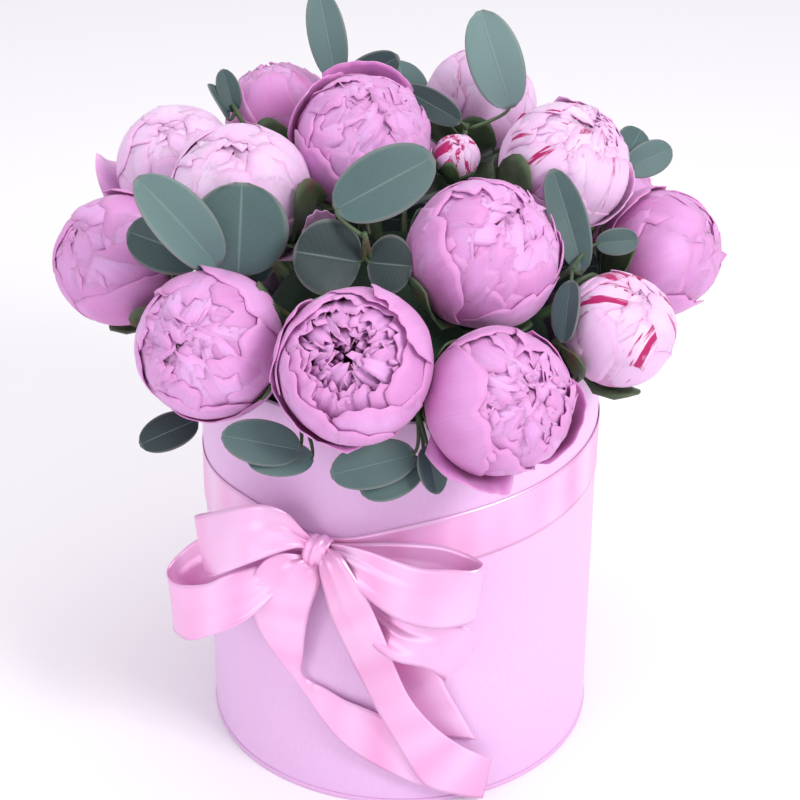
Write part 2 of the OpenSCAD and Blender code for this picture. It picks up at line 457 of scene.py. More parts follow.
def petal_sheet(sheets, rng, at, turn, rho, reach, width, base=10.0, tall=1.0, lift=0.0,
                flare=0.0, curl=0.0, ruffle=0.0, lean=0.02, bulge=0.03, flame=0.0, size=(21, 15),
                tear=0.07, narrow=0.12, shade=0.4):
    """One cupped petal on a globe of radius 1, from the stem's pole up to reach degrees.

    at is (frame, centre, radius). turn is the way it faces, width its half-width in degrees and
    rho its distance from the globe's centre. tall and lift stretch and raise it along the axis.
    flare turns the tip out and curl turns it in, ruffle waves the rim, lean tilts one side over
    its neighbour and bulge cups it. tear notches the tip and narrow rounds or points it. flame
    and shade go to the material, where shade mixes in the petals' middle colour as painted shade
    on the outer, lower petals.
    """
    matrix, centre, radius = at
    across_n, along_n = size
    u = np.linspace(-1.0, 1.0, across_n)[:, None] * np.ones((1, along_n))
    v = np.linspace(0.0, 1.0, along_n)[None, :] ** 0.85 * np.ones((across_n, 1))
    side = u[:, :1]
    wave_a, wave_b = rng.uniform(0, 6.3), rng.uniform(0, 6.3)
    pointed = 3.2 - 2.4 * max(0.0, narrow - 0.2)
    tip = 1.0 - narrow * np.abs(side) ** pointed
    for _ in range(rng.choice((1, 2, 3))):
        where = rng.uniform(-0.8, 0.8)
        depth = rng.uniform(0.4, 1.0) * tear
        tip = tip - depth * np.exp(-((side - where) / rng.uniform(0.06, 0.16)) ** 2)
    tip = tip + 0.35 * tear * np.sin(5.0 * side + wave_a) + 0.16 * tear * np.sin(17.0 * side + wave_b)
    theta = np.radians(base + (reach - base) * v * tip)
    half = math.radians(width) * (0.28 + 0.72 * smoothstep(0.0, 0.55, v)) * (1.0 - 0.10 * v ** 4)
    half = half * (1.0 + 0.05 * np.sin(9.0 * v + wave_b) * v)
    x = u * half
    phi = math.radians(turn)
    swing_k = rng.uniform(1.8, 3.0)
    swing = rng.uniform(0, 6.3)
    rim = np.maximum(np.abs(u), v)
    r = rho * (1.0 + lean * u
               + bulge * (1.0 - u * u) * np.sin(math.pi * np.clip(v * 1.15 - 0.15, 0, 1)) ** 0.8
               + flare * v ** 4
               - curl * v ** 3
               + 0.020 * np.abs(u) ** 6 * v
               + ruffle * v ** 2 * (0.35 + 0.65 * np.abs(u)) * np.sin(swing_k * math.pi * u + swing)
               + 0.4 * ruffle * v ** 3 * np.sin(2.3 * swing_k * math.pi * u + 2.0 * swing)
               + 0.012 * np.sin(2.6 * v * math.pi + 3.0 * u + wave_b)
               + 0.008 * np.sin(5.0 * u + wave_a) * v)
    mx, mz = np.sin(theta), -np.cos(theta)
    flat = np.stack([np.cos(x) * mx, np.sin(x), np.cos(x) * mz], axis=-1) * r[..., None]
    c, s = np.cos(phi), np.sin(phi)
    local = np.stack([flat[..., 0] * c - flat[..., 1] * s,
                      flat[..., 0] * s + flat[..., 1] * c,
                      flat[..., 2] * tall + lift], axis=-1)
    world = local @ matrix.T * radius + centre
    tone = np.full_like(u, rng.uniform(0.0, 0.6) + shade)
    own_pattern = np.full_like(u, rng.uniform(0, 9))
    place = np.stack([u, v, own_pattern], axis=-1)
    edge = smoothstep(0.90, 1.0, rim) * smoothstep(0.3, 0.7, v)
    kind = np.stack([tone, flame * smoothstep(0.2, 0.6, v), edge], axis=-1)
    sheets.add(world, place, kind)


# Each layer: petals, radius, reach in degrees, half-width, then how the rim behaves
CLOSED = [
    (4, 0.990, 108, 58, dict(flare=0.004, lean=0.022)),
    (4, 0.975, 132, 52, dict(flare=0.012, lean=0.028, ruffle=0.010)),
    (5, 0.955, 148, 46, dict(flare=0.024, ruffle=0.018, lean=0.03, tear=0.09)),
    (5, 0.930, 160, 42, dict(flare=0.036, ruffle=0.028, lean=0.03, tear=0.10)),
    (6, 0.900, 168, 36, dict(flare=0.050, ruffle=0.045, size=(17, 13), tear=0.11)),
    (6, 0.855, 174, 32, dict(flare=0.080, ruffle=0.065, size=(15, 11), tall=1.03, tear=0.12)),
    (6, 0.790, 178, 28, dict(flare=0.110, ruffle=0.080, size=(13, 10), tall=1.08, tear=0.12)),
    (5, 0.700, 179, 34, dict(flare=0.040, ruffle=0.060, size=(13, 10), tall=1.14, tear=0.05)),
]
HALF = [
    (4, 0.990, 104, 58, dict(flare=0.006, lean=0.022)),
    (5, 0.970, 128, 48, dict(flare=0.016, ruffle=0.012, lean=0.028)),
    (5, 0.945, 144, 43, dict(flare=0.032, ruffle=0.030, lean=0.03, tear=0.10)),
    (6, 0.900, 155, 38, dict(flare=0.055, ruffle=0.050, size=(19, 13), tear=0.11)),
    (7, 0.835, 163, 33, dict(flare=0.085, ruffle=0.075, size=(17, 12), tall=1.04, tear=0.12)),
    (7, 0.755, 169, 31, dict(flare=0.120, ruffle=0.095, size=(15, 11), tall=1.11, tear=0.12)),
    (7, 0.640, 174, 30, dict(flare=0.140, ruffle=0.110, size=(13, 11), tall=1.26, tear=0.12)),
    (5, 0.480, 178, 32, dict(flare=0.120, ruffle=0.110, size=(13, 11), tall=1.64, tear=0.10)),
]
CUP = [
    (4, 0.990, 112, 56, dict(lean=0.022)),
    (5, 0.970, 131, 48, dict(ruffle=0.012, lean=0.024)),
    (6, 0.915, 134, 38, dict(flare=0.010, ruffle=0.035, curl=0.01, tear=0.09)),
    (8, 0.835, 140, 31, dict(flare=0.030, ruffle=0.070, size=(15, 12), tall=1.01, tear=0.11)),
    (9, 0.740, 147, 28, dict(flare=0.055, ruffle=0.090, size=(15, 12), tall=1.06, tear=0.12)),
    (9, 0.630, 152, 28, dict(flare=0.080, ruffle=0.110, size=(13, 11), tall=1.17, tear=0.13)),
    (9, 0.510, 157, 28, dict(flare=0.110, ruffle=0.130, size=(13, 11), tall=1.38, tear=0.13)),
    (7, 0.380, 162, 28, dict(flare=0.140, ruffle=0.150, size=(11, 11), tall=1.72, tear=0.13)),
    (5, 0.240, 168, 28, dict(flare=0.160, ruffle=0.150, size=(11, 11), tall=2.30, tear=0.13)),
]
SMOOTH = [
    (3, 0.990, 118, 68, dict(lean=0.022, tear=0.03, bulge=0.02)),
    (4, 0.975, 146, 56, dict(flare=0.004, lean=0.026, tear=0.04, bulge=0.025)),
    (4, 0.955, 162, 50, dict(flare=0.010, lean=0.026, tear=0.05)),
    (5, 0.930, 173, 38, dict(flare=0.024, ruffle=0.012, lean=0.026, tear=0.07)),
    (5, 0.905, 178, 32, dict(flare=0.024, ruffle=0.020, size=(15, 12), tear=0.07)),
    (5, 0.870, 179, 38, dict(ruffle=0.010, size=(13, 10), tear=0.01)),
]
BUD = [
    (4, 0.98, 150, 56, dict(flare=0.004, lean=0.02)),
    (4, 0.95, 170, 50, dict(flare=0.010, lean=0.02)),
    (4, 0.92, 178, 44, dict(flare=0.020, ruffle=0.02, lean=0.02)),
    (5, 0.88, 179, 38, dict(ruffle=0.010, size=(11, 10), tear=0.01)),
]

# Each peony: its layers, petal colour, how strongly it is flamed, the azimuth and elevation it
# faces (None: straight along its stem), and any petals given one by one, as (turn, reach,
# half-width, how far the tip stands off, how much the tip narrows to a point). Turn 0 is the
# lowest side, 90 the right-hand side seen from in front
PEONIES = {
    1: (CLOSED, "pink", 0.25, (250, 30), [(150, 122, 52, 0.01, 0.2), (20, 92, 60, 0.03, 0.2)]),
    2: (CUP, "pink", 0.10, (264, 37), [(318, 100, 46, 0.07, 0.25), (250, 116, 40, 0.03, 0.2),
                                       (130, 132, 40, 0.04, 0.1)]),
    3: (HALF, "pink", 0.12, (296, 33), [(268, 146, 62, 0.02, 0.2), (330, 92, 36, 0.26, 0.4),
                                        (60, 118, 36, 0.12, 0.3)]),
    4: (CLOSED, "pink", 0.15, (304, 54), [(262, 128, 52, 0.02, 0.25), (10, 112, 50, 0.02, 0.2),
                                          (60, 118, 36, 0.03, 0.2)]),
    5: (SMOOTH, "pale", 1.10, (308, 60), []),
    6: (SMOOTH, "pink", 0.20, (335, 32), [(95, 104, 46, 0.14, 0.2), (58, 112, 30, 0.50, 0.95),
                                        (330, 110, 50, 0.03, 0.2), (170, 110, 50, 0.06, 0.2)]),
    7: (CLOSED, "pale", 0.90, (310, 56), [(40, 104, 44, 0.10, 0.2), (310, 100, 40, 0.06, 0.2)]),
    8: (CLOSED, "pink", 0.25, (285, 56), [(165, 122, 40, 0.18, 0.2), (300, 116, 52, 0.03, 0.2),
                                          (215, 118, 40, 0.10, 0.3)]),
    9: (SMOOTH, "pale", 0.08, (262, 62), [(62, 106, 20, 0.34, 0.25)]),
    10: (SMOOTH, "pale", 0.08, (260, 60), [(280, 106, 42, 0.32, 0.8)]),
    11: (SMOOTH, "pink", 0.25, (215, 42), [(262, 116, 44, 0.10, 0.3), (200, 122, 40, 0.06, 0.3)]),
    12: (HALF, "pink", 0.30, None, []),
    13: (BUD, "pale", 2.40, (279, 58), []),
    14: (HALF, "pale", 0.60, None, []),
    15: (HALF, "pink", 0.20, None, [(0, 104, 44, 0.08, 0.2)]),
    16: (CLOSED, "pink", 0.20, None, []),
    17: (HALF, "pink", 0.25, None, [(300, 104, 44, 0.10, 0.2)]),
    18: (CLOSED, "pale", 0.40, None, []),
}

SEPALS = 5
SEPAL_RHO = 1.035           # sepals clasp the globe just outside the outermost petals
GUARD_RHO = 1.02            # petals given one by one lie over the layers
SEPAL_FLARE = 0.2           # how far sepals may stand off
CLOSE_SEPAL_FLARE = 0.05    # and on the first blooms, low at the front
CLOSE_BLOOMS = 3
# The receptacle's outline, as radius and height in mm from the pole of a bloom of this radius
RECEPTACLE = [(2.6, -4.5), (3.4, -3.2), (5.6, -1.6), (8.2, 0.4), (9.6, 2.6), (8.0, 4.4)]
RECEPTACLE_BLOOM_R = 0.030


def bloom_globe(name):
    """Centre and radius of a bloom's globe, from its CAD node's box and its joint's axis."""
    low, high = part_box(f"{name}_bloom")
    axis = JOINT_AXIS[name]
    radius = min(high[k] - low[k] for k in range(3)) / 2.0
    centre = [high[k] - radius if axis[k] >= 0 else low[k] + radius for k in range(3)]
    return np.array(centre), radius


def make_sepals(name, at, rng, mat, spread):
    """Five sepals that clasp the bud over a small swollen receptacle."""
    matrix, centre, radius = at
    sheets = Sheets()
    for k in range(SEPALS):
        turn = 360.0 / SEPALS * k + rng.uniform(-12, 12)
        petal_sheet(sheets, rng, at, turn, SEPAL_RHO, rng.uniform(58, 88), rng.uniform(19, 27),
                    base=2.0, flare=rng.uniform(0.0, spread), ruffle=0.02, size=(9, 10),
                    tear=0.0, narrow=0.40)
    piece = sheets.build(f"{name}_sepals", mat, SEPAL_T * MM, 1.0)
    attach(piece, name)
    ring = np.linspace(0, 2 * math.pi, 28, endpoint=False)
    grid = np.array([[[r * math.cos(a), r * math.sin(a), z] for r, z in RECEPTACLE] for a in ring])
    grid *= MM * radius / RECEPTACLE_BLOOM_R
    grid[..., 2] -= radius * 0.985
    cup = Sheets()
    zeros = np.zeros_like(grid)
    cup.add(grid @ matrix.T + centre, zeros, zeros, closed=True)
    piece = cup.build(f"{name}_receptacle", mat, 0.8 * MM, -1.0)
    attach(piece, name)


def make_peony(number, petals, stem_mat):
    """Layers of petals turned the way the bloom faces, over sepals that follow the stem."""
    name = f"peony_{number:02d}"
    layers, colour, flamed, faces, by_hand = PEONIES[number]
    rng = random.Random(PEONY_SEED + number)
    centre, radius = bloom_globe(name)
    stem_at = (facing_frame(JOINT_AXIS[name]), centre, radius)
    at = stem_at
    if faces:
        at = (facing_frame(rotation(faces[0], faces[1], 0)[:, 0]), centre, radius)
    sheets = Sheets()
    start = rng.uniform(0, 360)
    for depth, (count, rho, reach, width, how) in enumerate(layers):
        start += 360.0 / count * 0.5 + rng.uniform(-14, 14)
        uneven = (7.0 + 1.5 * depth) * (1.0 if reach < 170 else 0.25)
        for k in range(count):
            options = dict(how)
            options["flare"] = options.get("flare", 0.0) * rng.uniform(0.3, 1.7)
            # shade falls with depth: painted shade that mixes the outer, lower petals towards the middle
            # colour
            petal_sheet(sheets, rng, at, start + 360.0 / count * k + rng.uniform(-9, 9),
                        rho * rng.uniform(0.980, 1.008),
                        min(179, reach + rng.uniform(-uneven, uneven)),
                        width * rng.uniform(0.85, 1.15),
                        flame=flamed * rng.uniform(0.2, 1.3), shade=max(0.0, 0.5 - 0.13 * depth),
                        **options)
    for turn, reach, width, off, narrow in by_hand:
        petal_sheet(sheets, rng, at, turn, GUARD_RHO, reach, width, flare=off, ruffle=0.012,
                    flame=flamed, narrow=narrow)
    piece = sheets.build(f"{name}_petals", petals[colour], PETAL_T * MM)
    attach(piece, name)
    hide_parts(f"{name}_bloom")
    spread = CLOSE_SEPAL_FLARE if number <= CLOSE_BLOOMS else SEPAL_FLARE
    make_sepals(name, stem_at, rng, stem_mat, spread)


# ---------- eucalyptus ----------

AIM = np.array((0.0, 0.0, 165.0))       # the point that every stem aims at, in mm
AIM_GAP = 28.0                          # from that point to a twig's cut end
TWIG_R = 1.15

# Each sprig: azimuth, elevation and length of the twig from the aim point, then its leaves.
# Each leaf: base x, y, z, azimuth and elevation it grows in, roll, length and width, its tone
# from dark to pale, and how far it folds along the midrib. The tone is partly the leaf's own
# and partly painted shade, darker for leaves that sit in shade
SPRIGS = [
    (219, 43, 130, [(-66, -60, 250, 80, 72, 15, 38, 41, 0.38, 0.05),
                    (-74, -62, 255, 188, 54, -60, 50, 25, 0.68, 0.45),
                    (-80, -56, 256, 166, 15, -61, 34, 24, 0.18, 0.15)]),
    (259, 56, 132, [(-26, -64, 281, 16, 24, 64, 45, 28, 0.42, 0.15),
                    (-16, -64, 258, 194, 16, -69, 28, 32, 0.04, 0.1),
                    (-13, -64, 258, 356, -4, 65, 18, 25, 0.03, 0.1)]),
    (324, 44, 124, [(76, -43, 244, 120, 57, -22, 45, 17, 0.33, 0.25),
                    (70, -60, 248, 256, -50, 26, 26, 14, 0.30, 0.2),
                    (82, -32, 252, 12, 0, 65, 19, 12, 0.30, 0.2)]),
    (113, 60, 142, [(-29, 68, 288, 128, 72, -34, 42, 18, 0.60, 0.2),
                    (-26, 62, 286, 341, 35, 81, 32, 17, 0.22, 0.15)]),
    (50, 68, 124, [(49, 38, 286, 158, 70, -66, 45, 25, 0.88, 0.1),
                   (27, 34, 281, 160, 24, -60, 30, 14, 0.15, 0.15)]),
    (15, 42, 138, [(100, 30, 260, 25, 15, 62, 25, 16, 0.55, 0.15),
                   (98, 30, 262, 60, 25, 40, 24, 18, 0.4, 0.1)]),
    (245, 24, 112, [(-40, -106, 195, 196, 20, -62, 33, 19, 0.38, 0.1),
                    (-35, -103, 189, 202, 12, -60, 28, 15, 0.55, 0.1)]),
    (274, 24, 110, [(6, -108, 194, 198, -5, -56, 35, 20, 0.42, 0.1),
                    (9, -106, 189, 206, -14, -50, 28, 18, 0.45, 0.1),
                    (11, -108, 198, 286, -46, 13, 20, 12, 0.25, 0.5)]),
    (210, 24, 112, [(-84, -76, 192, 206, -12, -50, 26, 16, 0.05, 0.1)]),
    (142, 50, 150, [(-75, 60, 276, 130, 65, -28, 20, 11, 0.25, 0.3),
                    (-78, 56, 274, 150, 60, 20, 18, 12, 0.4, 0.2)]),
    (88, 42, 138, [(4, 102, 256, 100, 40, 10, 34, 26, 0.5, 0.1),
                   (0, 100, 254, 190, 30, 20, 30, 22, 0.35, 0.1)]),
    (170, 25, 122, [(-110, 22, 214, 165, 10, 30, 36, 26, 0.45, 0.1),
                    (-106, 16, 210, 200, -30, 10, 26, 20, 0.3, 0.1)]),
]


def rotation(azimuth, elevation, roll):
    """Turns +X to an azimuth and elevation in degrees, after a roll about it."""
    a, e, r = (math.radians(x) for x in (azimuth, elevation, roll))
    turn = np.array([[math.cos(a), -math.sin(a), 0], [math.sin(a), math.cos(a), 0], [0, 0, 1]])
    rise = np.array([[math.cos(e), 0, -math.sin(e)], [0, 1, 0], [math.sin(e), 0, math.cos(e)]])
    spin = np.array([[1, 0, 0], [0, math.cos(r), -math.sin(r)], [0, math.sin(r), math.cos(r)]])
    return turn @ rise @ spin


def add_leaf(sheets, rng, leaf):
    """One leaf blade: cupped along its length, folded at the midrib and waved at the rim."""
    bx, by, bz, azimuth, elevation, roll, length, width, tone, fold = leaf
    across_n, along_n = 17, 21
    u = np.linspace(-1, 1, across_n)[:, None] * np.ones((1, along_n))
    v = np.linspace(0, 1, along_n)[None, :] * np.ones((across_n, 1))
    # a circle's outline, slightly fuller towards the tip and with a small point
    w = np.clip(v, 0.004, 0.996)
    outline = np.sqrt(1.0 - (2.0 * w ** 0.93 - 1.0) ** 2) * (0.92 + 0.10 * w)
    half = width / 2.0 * outline
    wave = rng.uniform(0, 6.3)
    y = u * half
    z = (fold * np.abs(y) * 0.9
         + 0.028 * length * np.sin(math.pi * v) * rng.uniform(0.5, 1.5)
         + 0.018 * width * u * u * np.sin(5.5 * v + 2.2 * u + wave)
         - 0.05 * length * v * v)
    local = np.stack([v * length, y, z], axis=-1)
    world = local @ rotation(azimuth, elevation, roll).T + np.array((bx, by, bz))
    place = np.stack([u, v, np.zeros_like(u)], axis=-1)
    rim = smoothstep(0.9, 1.0, np.maximum(np.abs(u), np.abs(2 * v - 1)))
    kind = np.stack([np.full_like(u, tone), np.zeros_like(u), rim], axis=-1)
    sheets.add(world * MM, place, kind)


def tube(sheets, points, radii, sides=12):
    """A round tube along points, closed at both ends."""
    points = np.array(points, float)
    rows = []
    ahead = np.gradient(points, axis=0)
    off_axis = (0.3, 0.9, 0.2)      # a direction that no tube starts in
    side = np.cross(ahead[0], off_axis)
    for p, d, r in zip(points, ahead, radii):
        d = d / np.linalg.norm(d)
        side = side - d * side.dot(d)
        side /= np.linalg.norm(side)
        other = np.cross(d, side)
        ring = np.linspace(0, 2 * math.pi, sides, endpoint=False)
        rows.append([p + r * (math.cos(a) * side + math.sin(a) * other) for a in ring])
    rows.insert(0, [points[0]] * sides)
    rows.append([points[-1]] * sides)
    grid = np.array(rows).transpose(1, 0, 2)
    zeros = np.zeros_like(grid)
    sheets.add(grid * MM, zeros, zeros, closed=True)


def stalk(sheets, start, bend, end, thick):
    """A thin stalk that curves towards bend on its way to a leaf."""
    t = np.linspace(0, 1, 9)[:, None]
    path = (1 - t) ** 2 * start + 2 * t * (1 - t) * bend + t ** 2 * end
    tube(sheets, path, np.linspace(thick, 0.6, 9), sides=10)


STALK_DEPTH = 26.0          # how far a filler leaf's stalk goes down
# Leaves low between the stems and over the foam, in the same form as a sprig's leaves; their dark tones
# are painted shade for the gaps between blooms
FILLERS = [
    (17, 78, 214, 182, 4, -66, 42, 26, 0.06, 0.1), (-16, 62, 211, 194, 6, -66, 34, 32, 0.05, 0.1),
    (60, 38, 208, 348, 8, 66, 32, 24, 0.06, 0.1), (-58, 40, 206, 150, 15, -50, 32, 28, 0.08, 0.1),
    (-48, -38, 206, 205, 10, -60, 32, 24, 0.05, 0.1), (2, 25, 244, 70, -10, -15, 36, 26, 0.16, 0.15),
    (-29, 17, 242, 150, 20, 0, 36, 26, 0.10, 0.2), (35, 35, 252, 40, -10, -30, 36, 26, 0.14, 0.1),
    (-19, 42, 236, 95, 0, -30, 36, 26, 0.12, 0.2), (19, 3, 240, 335, 10, 0, 36, 26, 0.06, 0.1),
]


def make_fillers(leaf_mat, stem_mat):
    """Each low leaf stands on a short stalk that goes down into the foam."""
    rng = random.Random(FILLER_SEED)
    blades = Sheets()
    stalks = Sheets()
    for leaf in FILLERS:
        add_leaf(blades, rng, leaf)
        base = np.array(leaf[:3], float)
        heading = rotation(*leaf[3:6])[:, 0]
        foot = base * (0.9, 0.9, 1.0) - (0.0, 0.0, STALK_DEPTH)
        stalk(stalks, foot, base - heading * 6.0, base + heading, 1.0)
    piece = blades.build("filler_leaves", leaf_mat, LEAF_T * MM)
    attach(piece, "insert")
    piece = stalks.build("filler_stalks", stem_mat, 0)
    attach(piece, "insert")


def make_sprig(index, leaf_mat, stem_mat):
    """A straight twig with a knot near its tip, from which a curved stalk runs to each leaf."""
    azimuth, elevation, length, leaves = SPRIGS[index]
    body = f"sprig_{index + 1:02d}"
    node = f"eucalyptus_{index + 1:02d}"
    rng = random.Random(SPRIG_SEED + index)
    out = rotation(azimuth, elevation, 0)[:, 0]
    tip = AIM + out * length
    blades = Sheets()
    for leaf in leaves:
        add_leaf(blades, rng, leaf)
    piece = blades.build(f"{node}_leaves", leaf_mat, LEAF_T * MM)
    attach(piece, body)
    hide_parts(node)
    twig = Sheets()
    along = np.linspace(AIM_GAP + 0.6, length, 14)
    radii = [TWIG_R + 0.35 * math.exp(-((d - length * 0.85) / 4.0) ** 2) for d in along]
    tube(twig, [AIM + out * d for d in along], radii)
    for leaf in leaves:
        base = np.array(leaf[:3], float)
        heading = rotation(*leaf[3:6])[:, 0]
        stalk(twig, tip - out * 3.0, base - heading * 3.0, base + heading * 1.5, 0.95)
    piece = twig.build(f"{node}_twig", stem_mat, 0)
    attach(piece, body)


# ---------- ribbon ----------

RIBBON_W = 25.0
RIBBON_T = 0.35
BAND_TILT = math.radians(5.0)
BAND_NARROWING = 0.72       # share of its width that the band loses at the knot
NARROWING_REACH = 17.0      # degrees from the knot
PULL_REACH = 26.0           # and how far the band is drawn to the knot's height
KNOT_AZ = 248.0
KNOT_Z = 133.0
KNOT_HALF = (5.0, 7.2, 5.6)             # half its width, height and depth
KNOT_MIDDLE = (1.5, 4.0, 6.8)           # right, up and out of the wall
SEAM_AZ = 90.0


def box_radius():
    """Outer radius of the box wall, in mm."""
    low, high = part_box("box_wall")
    return (high[0] - low[0]) / 2.0 / MM


BOX_R = box_radius()


def from_knot(points):
    """The knot's frame (right, up and out of the wall, in mm) to the CAD frame in metres."""
    a = math.radians(KNOT_AZ)
    out = np.array((math.cos(a), math.sin(a), 0.0))
    right = np.array((-math.sin(a), math.cos(a), 0.0))
    p = np.asarray(points, float)
    at = out * BOX_R + np.array((0.0, 0.0, KNOT_Z))
    return (at + p[..., 0:1] * right + p[..., 1:2] * np.array((0, 0, 1.0)) + p[..., 2:3] * out) * MM


def spline(points, steps=8):
    """A smooth curve through the points, with steps samples to each stretch."""
    p = np.array(points, float)
    p = np.vstack([2 * p[0] - p[1], p, 2 * p[-1] - p[-2]])
    t = np.linspace(0, 1, steps, endpoint=False)[:, None]
    runs = []
    for i in range(1, len(p) - 2):
        a, b, c, d = p[i - 1], p[i], p[i + 1], p[i + 2]
        runs.append(0.5 * (2 * b + (c - a) * t + (2 * a - 5 * b + 4 * c - d) * t ** 2
                           + (3 * b - a - 3 * c + d) * t ** 3))
    return np.vstack(runs + [p[-2:-1]])


def strip(sheets, pairs, crown=0.0, pleats=0.0, pleat_at=(1.0, 1.0)):
    """A ribbon between two edges. Pleats gather it at its ends, where it goes into the knot."""
    left = spline([a for a, b in pairs])
    right = spline([b for a, b in pairs])
    across = 13
    n = len(left)
    s = np.linspace(0, 1, across)[None, :, None]
    grid = left[:, None, :] * (1 - s) + right[:, None, :] * s
    along = np.gradient(grid, axis=0)
    over = (right - left)[:, None, :] * np.ones((1, across, 1))
    normal = np.cross(along, over)
    normal /= np.maximum(np.linalg.norm(normal, axis=-1, keepdims=True), 1e-9)
    t = np.linspace(0, 1, n)[:, None, None]
    near_start = np.exp(-(t / 0.24) ** 2) * pleat_at[0]
    near_end = np.exp(-((1 - t) / 0.24) ** 2) * pleat_at[1]
    wave = np.sin(s * math.pi * 5.0 + 0.8) + 0.6 * np.sin(s * math.pi * 9.0 + 2.0)
    rise = crown * np.sin(math.pi * s) + pleats * (near_start + near_end) * wave
    world = from_knot(grid + normal * rise)
    stretches = np.linalg.norm(np.diff(grid[:, across // 2], axis=0), axis=1)
    distance = np.concatenate([[0], np.cumsum(stretches)])
    place = np.zeros_like(grid)
    place[..., 0] = s[..., 0]
    place[..., 1] = distance[:, None]
    sheets.add(world, place, np.zeros_like(grid))


# Edge points in the knot's frame: right, up and out of the wall, in mm
UPPER_LEFT = [
    ((0, 7, 6), (0, 3, 6)), ((-4, 14, 9), (-5, 7, 13)), ((-10, 24, 13), (-13, 6, 20)),
    ((-20, 27, 16), (-22, 2, 24)), ((-36, 21, 16), (-33, -5, 24)), ((-48, 14, 13), (-41, -11, 21)),
    ((-55, 9, 9), (-48, -17, 14)), ((-53, 8, 4), (-45, -17, 7)), ((-43, 10, 3), (-36, -13, 5)),
    ((-18, 10, 2), (-17, -3, 3)), ((-2, 6, 3), (-2, 1, 3)),
]
LOWER_LEFT = [
    ((-2, 3, 2), (-2, -2, 2)), ((-24, 2, 1), (-26, -16, 4)), ((-44, -2, 1), (-45, -26, 6)),
    ((-57, -7, 2), (-55, -31, 8)), ((-65, -14, 5), (-62, -38, 12)), ((-68, -18, 10), (-64, -42, 16)),
    ((-67, -20, 15), (-62, -44, 21)), ((-61, -20, 20), (-56, -43, 26)), ((-53, -18, 22), (-50, -42, 28)),
    ((-43, -14, 23), (-42, -38, 28)), ((-34, -8, 22), (-33, -33, 26)), ((-25, -5, 18), (-24, -27, 22)),
    ((-12, -2, 11), (-13, -14, 14)), ((-2, 2, 6), (-2, -3, 6)),
]
UPPER_RIGHT = [
    ((2, 5, 3), (3, 0, 3)), ((16, 7, 1), (15, -10, 2)), ((34, 10, -2), (34, -15, 0)),
    ((52, 12, -4), (52, -14, 0)), ((64, 11, -4), (63, -15, 1)), ((71, 11, -1), (69, -15, 3)),
    ((74, 12, 3), (72, -14, 6)), ((72, 12, 8), (70, -13, 12)), ((63, 12, 11), (61, -14, 17)),
    ((51, 11, 13), (49, -14, 19)), ((39, 12, 13), (38, -11, 19)), ((27, 13, 12), (25, -5, 17)),
    ((14, 11, 9), (12, 1, 12)), ((4, 7, 6), (5, 3, 6)),
]
LOWER_RIGHT = [
    ((4, -1, 3), (4, -6, 3)), ((19, -10, 0), (16, -26, 1)), ((33, -20, -4), (30, -40, -3)),
    ((48, -27, -6), (43, -49, -5)), ((63, -30, -5), (55, -56, -4)), ((73, -27, 0), (58, -52, 2)),
    ((73, -21, 5), (59, -47, 6)), ((68, -17, 8), (58, -42, 11)), ((58, -18, 9), (52, -38, 14)),
    ((44, -20, 7), (38, -36, 16)), ((28, -14, 4), (24, -28, 13)), ((7, 0, 4), (7, -5, 6)),
]
TAIL_SHORT = [
    ((26, -40, -2), (49, -52, -9)), ((29, -60, -3), (53, -66, -12)), ((35, -79, -5), (58, -83, -18)),
    ((43, -92, -9), (64, -99, -22)),
]
TAIL_LEFT = [
    ((-5, 1, 9), (3, -2, 8)), ((-15, 2, 14), (5, -6, 11)), ((-22, -5, 17), (4, -12, 12)),
    ((-26, -18, 17), (0, -23, 12)), ((-26, -34, 14), (-4, -38, 9)), ((-21, -50, 10), (-7, -54, 6)),
    ((-14, -64, 6), (-9, -64, 4)), ((-5, -77, 5), (-6, -69, 2)), ((1, -86, 5), (1, -71, 2)),
    ((11, -98, 4), (11, -75, 2)), ((25, -108, 1), (26, -80, 0)), ((45, -120, -7), (39, -93, -6)),
    ((64, -129, -24), (54, -107, -15)),
]
TAIL_RIGHT = [
    ((4, 4, 10), (8, 8, 9)), ((6, -3, 13), (15, 9, 14)), ((8, -11, 14), (21, 3, 16)),
    ((11, -26, 13), (29, -9, 17)), ((16, -41, 11), (35, -26, 15)), ((21, -56, 8), (39, -43, 12)),
    ((28, -73, 6), (44, -63, 6)), ((36, -94, 1), (52, -82, -3)), ((46, -117, -5), (61, -96, -12)),
    ((59, -126, -14), (68, -106, -21)), ((68, -131, -22), (71, -109, -23)),
]


def satin_piece(name, satin, pairs, options, nodes):
    """A strip of ribbon as one piece."""
    sheets = Sheets()
    strip(sheets, pairs, **options)
    piece = sheets.build(name, satin, RIBBON_T * MM)
    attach(piece, BODY_OF_BOX)
    if nodes:
        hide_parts(*nodes)


